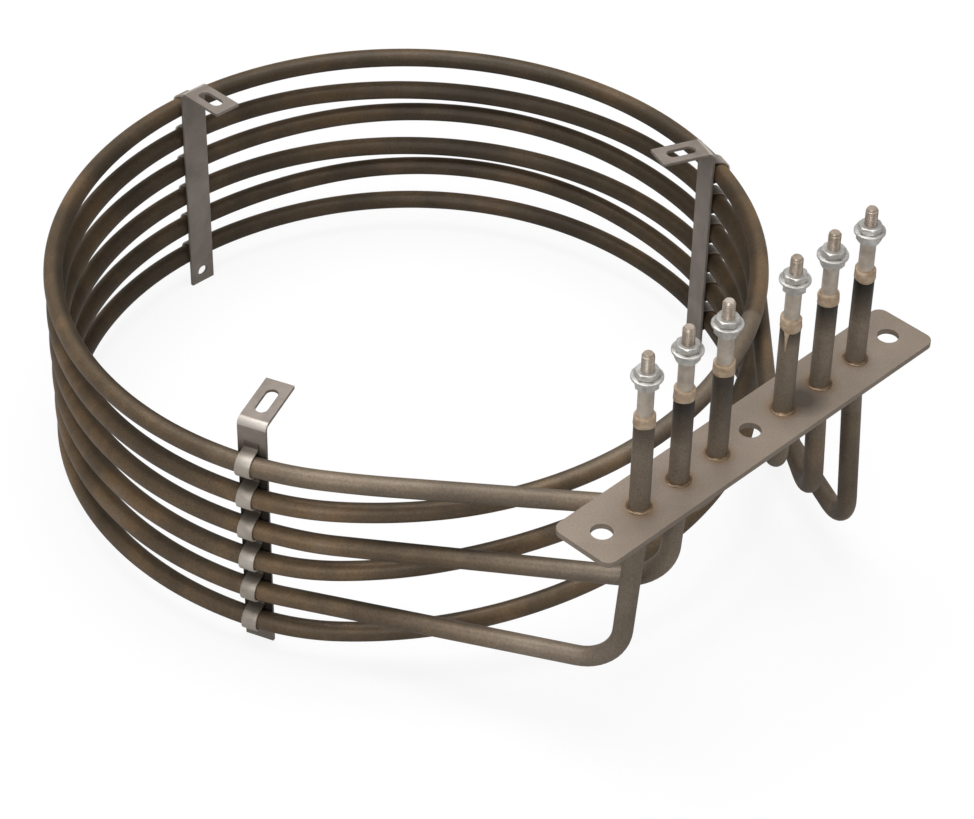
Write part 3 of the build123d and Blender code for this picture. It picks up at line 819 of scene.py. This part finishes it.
def strip_rings(angle):
    """The strip's section, a rectangle with rounded corners, carried along its middle line and
    drawn in a little at both ends, then turned about the coil's axis to its bracket."""
    line = strip_line()
    way = unit(np.gradient(line, axis=0))
    off = np.stack([way[:, 2], 0 * way[:, 0], -way[:, 0]], -1)
    corner = np.radians([0.0, 30.0, 60.0, 90.0])
    lobe = np.stack([np.cos(corner), np.sin(corner)], -1) * strip_edge_r
    half = np.array([strip_half_width, strip_half_thick]) - strip_edge_r
    section = np.concatenate([half + lobe, (half + lobe[::-1]) * (-1, 1), (half + lobe) * (-1, -1),
                              (half + lobe[::-1]) * (1, -1)])
    across = np.array([0.0, 1.0, 0.0])
    rings = line[:, None] + across * section[None, :, :1] + off[:, None] * section[None, :, 1:]
    middles = rings.mean(1, keepdims=True)
    drawn_in = middles + (rings - middles) * 0.9
    rings = np.concatenate([drawn_in[:1], rings, drawn_in[-1:]])
    turn = math.radians(angle)
    x = rings[..., 0] * math.cos(turn) - rings[..., 1] * math.sin(turn) + coil_offset
    y = rings[..., 0] * math.sin(turn) + rings[..., 1] * math.cos(turn) + coil_reach
    return np.stack([x, y, rings[..., 2]], -1)


def strip_material():
    """Thin bright sheet, darkened to brown towards the bracket as painted shade in the valleys: the
    darkening follows the distance from the coil's axis, from full in the valleys to none where the
    strip lies over a turn."""
    material = steel_material("strip steel", (158, 148, 136), (180, 170, 159), (198, 190, 180), 0.4,
                              (0.4, 0.5), 90.0)
    tree = material.node_tree
    colour = tree.nodes["Principled BSDF"].inputs["Base Color"]
    bright = colour.links[0].from_socket
    spot = put(tree, "ShaderNodeTexCoord").outputs["Object"]
    radius = put(tree, "ShaderNodeGroup", {"Place": spot}, node_tree=from_axis).outputs["Distance"]
    # Painted shade: the strip is darkened brown in the valleys, where it lies against the bracket.
    tint = spread(tree, radius, (coil_r - 1.0) / 1000, (coil_r + 2.6) / 1000, 0.88, 0.0)
    tree.links.new(blend(tree, tint, bright, paint(78, 68, 58)), colour)
    return material


strip_steel = strip_material()
for place, angle in bracket_angles.items():
    skin(f"wavy_strip_{place}", strip_rings(angle), [f"retaining_strip_{place}"],
         strip_steel)

# ---- Inside the sheaths --------------------------------------------------------------------------
# White magnesia powder, packed hard, holds the wound resistance wire in the middle of each sheath.
# None of it shows from outside, but it would if a sheath were cut.


def magnesia_material():
    """Pressed powder: two near-whites in a fine noise, quite matt."""
    material, tree, shader = new_material("magnesia", Roughness=0.9)
    place = put(tree, "ShaderNodeTexCoord").outputs["Object"]
    powder = put(tree, "ShaderNodeTexNoise", {"Vector": place, "Scale": 900.0, "Detail": 4.0})
    tree.links.new(ramp(tree, powder.outputs[0], [(0.3, (214, 211, 204)), (0.7, (236, 234, 229))]),
                   shader.inputs["Base Color"])
    return material


magnesia = magnesia_material()
wire_alloy = steel_material("resistance alloy", (120, 114, 108), (138, 132, 126), (154, 148, 142),
                            0.8, (0.34, 0.44), 300.0)
for heater in range(1, 4):
    for node, material in ((f"filling_{heater}", magnesia),
                           (f"resistance_wire_{heater}", wire_alloy)):
        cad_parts[node].data.materials.clear()
        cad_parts[node].data.materials.append(material)

# ---- Studio --------------------------------------------------------------------------------------
# A pale floor under the brackets' feet, a white surround that only the camera sees, and soft lamps:
# a broad one overhead, one high behind the camera's left and a weaker one on its right.
scene = bpy.context.scene
scene.view_settings.view_transform = "Standard"
white = (1.0, 1.0, 1.0, 1.0)
floor_z = (lowest_turn_z - bracket_foot_drop) / 1000
floor_reach = 6                     # metres


def floor_material():
    """Matt grey to the lamps, which leaves the shadow, and mostly a white glow to the camera;
    mirrors see a tenth of that glow."""
    material = bpy.data.materials.new("studio floor")
    material.use_nodes = True
    tree = material.node_tree
    tree.nodes.clear()
    matt = put(tree, "ShaderNodeBsdfDiffuse", {"Color": (0.45, 0.45, 0.45, 1.0)})
    glow = put(tree, "ShaderNodeEmission", {"Color": white, "Strength": 1.2})
    ray = put(tree, "ShaderNodeLightPath").outputs
    mirrored = sum_up(tree, "MULTIPLY", ray["Is Glossy Ray"], 0.1)
    seen = sum_up(tree, "MAXIMUM", ray["Is Camera Ray"], mirrored)
    seen = sum_up(tree, "MULTIPLY", sum_up(tree, "MAXIMUM", seen, ray["Is Transmission Ray"]), 0.72)
    mix = put(tree, "ShaderNodeMixShader", {0: seen, 1: matt.outputs[0], 2: glow.outputs[0]})
    put(tree, "ShaderNodeOutputMaterial", {"Surface": mix.outputs[0]})
    return material


floor_mesh = bpy.data.meshes.new("floor")
floor_corners = [(x * floor_reach, y * floor_reach, floor_z)
                 for x, y in ((-1, -1), (1, -1), (1, 1), (-1, 1))]
floor_mesh.from_pydata(floor_corners, [], [(0, 1, 2, 3)])
floor = bpy.data.objects.new("floor", floor_mesh)
scene.collection.objects.link(floor)
floor_mesh.materials.append(floor_material())

world = bpy.data.worlds.new("surround")
scene.world = world
world.use_nodes = True
tree = world.node_tree
tree.nodes.clear()
ray = put(tree, "ShaderNodeLightPath").outputs
seen = sum_up(tree, "MAXIMUM", ray["Is Camera Ray"], ray["Is Transmission Ray"])
bright = put(tree, "ShaderNodeBackground", {"Color": white, "Strength": 1.0})
soft = put(tree, "ShaderNodeBackground", {"Color": white, "Strength": 0.2})
mix = put(tree, "ShaderNodeMixShader", {0: seen, 1: soft.outputs[0], 2: bright.outputs[0]})
put(tree, "ShaderNodeOutputWorld", {"Surface": mix.outputs[0]})


def lamp(name, place, aim, size, power):
    """A square soft lamp at a place, turned to face a point; metres and watts."""
    data = bpy.data.lights.new(name, "AREA")
    data.size = size
    data.energy = power
    piece = bpy.data.objects.new(name, data)
    scene.collection.objects.link(piece)
    back = unit(np.array(place, float) - np.array(aim, float))
    side = unit(np.cross((0.0, 1.0, 0.02), back))
    stand = np.column_stack([side, np.cross(back, side), back, place])
    piece.matrix_world = Matrix(np.vstack([stand, (0, 0, 0, 1)]).tolist())


lamp("overhead softbox", (0.0, 0.25, 1.3), (0.0, 0.12, -0.05), 1.1, 20.0)
lamp("left softbox", (-1.3, -0.5, 0.9), (0.0, 0.1, -0.05), 0.8, 10.0)
lamp("right softbox", (0.8, -1.2, 0.8), (0.0, 0.1, -0.05), 0.8, 3.0)

# The camera looks down at 40 degrees on the corner between the flange and the coil.
camera_place = (-0.594094, -0.464469, 0.639363)
azimuth, elevation, roll = math.radians(-45.807), math.radians(40.181), math.radians(1.126)
focal_length, picture_width = 3201.93, 974      # in pixels
level = np.array([math.cos(azimuth), math.sin(azimuth), 0.0])
ahead = np.array([-math.sin(azimuth) * math.cos(elevation), math.cos(azimuth) * math.cos(elevation),
                  -math.sin(elevation)])
upward = np.cross(level, ahead)
right = math.cos(roll) * level + math.sin(roll) * upward
upright = math.cos(roll) * upward - math.sin(roll) * level
camera_data = bpy.data.cameras.new("camera")
camera_data.sensor_width = 36.0
camera_data.lens = camera_data.sensor_width * focal_length / picture_width
camera_data.clip_end = 50.0
camera = bpy.data.objects.new("camera", camera_data)
scene.collection.objects.link(camera)
stand = np.column_stack([right, upright, -ahead, camera_place])
camera.matrix_world = Matrix(np.vstack([stand, (0, 0, 0, 1)]).tolist())
scene.camera = camera
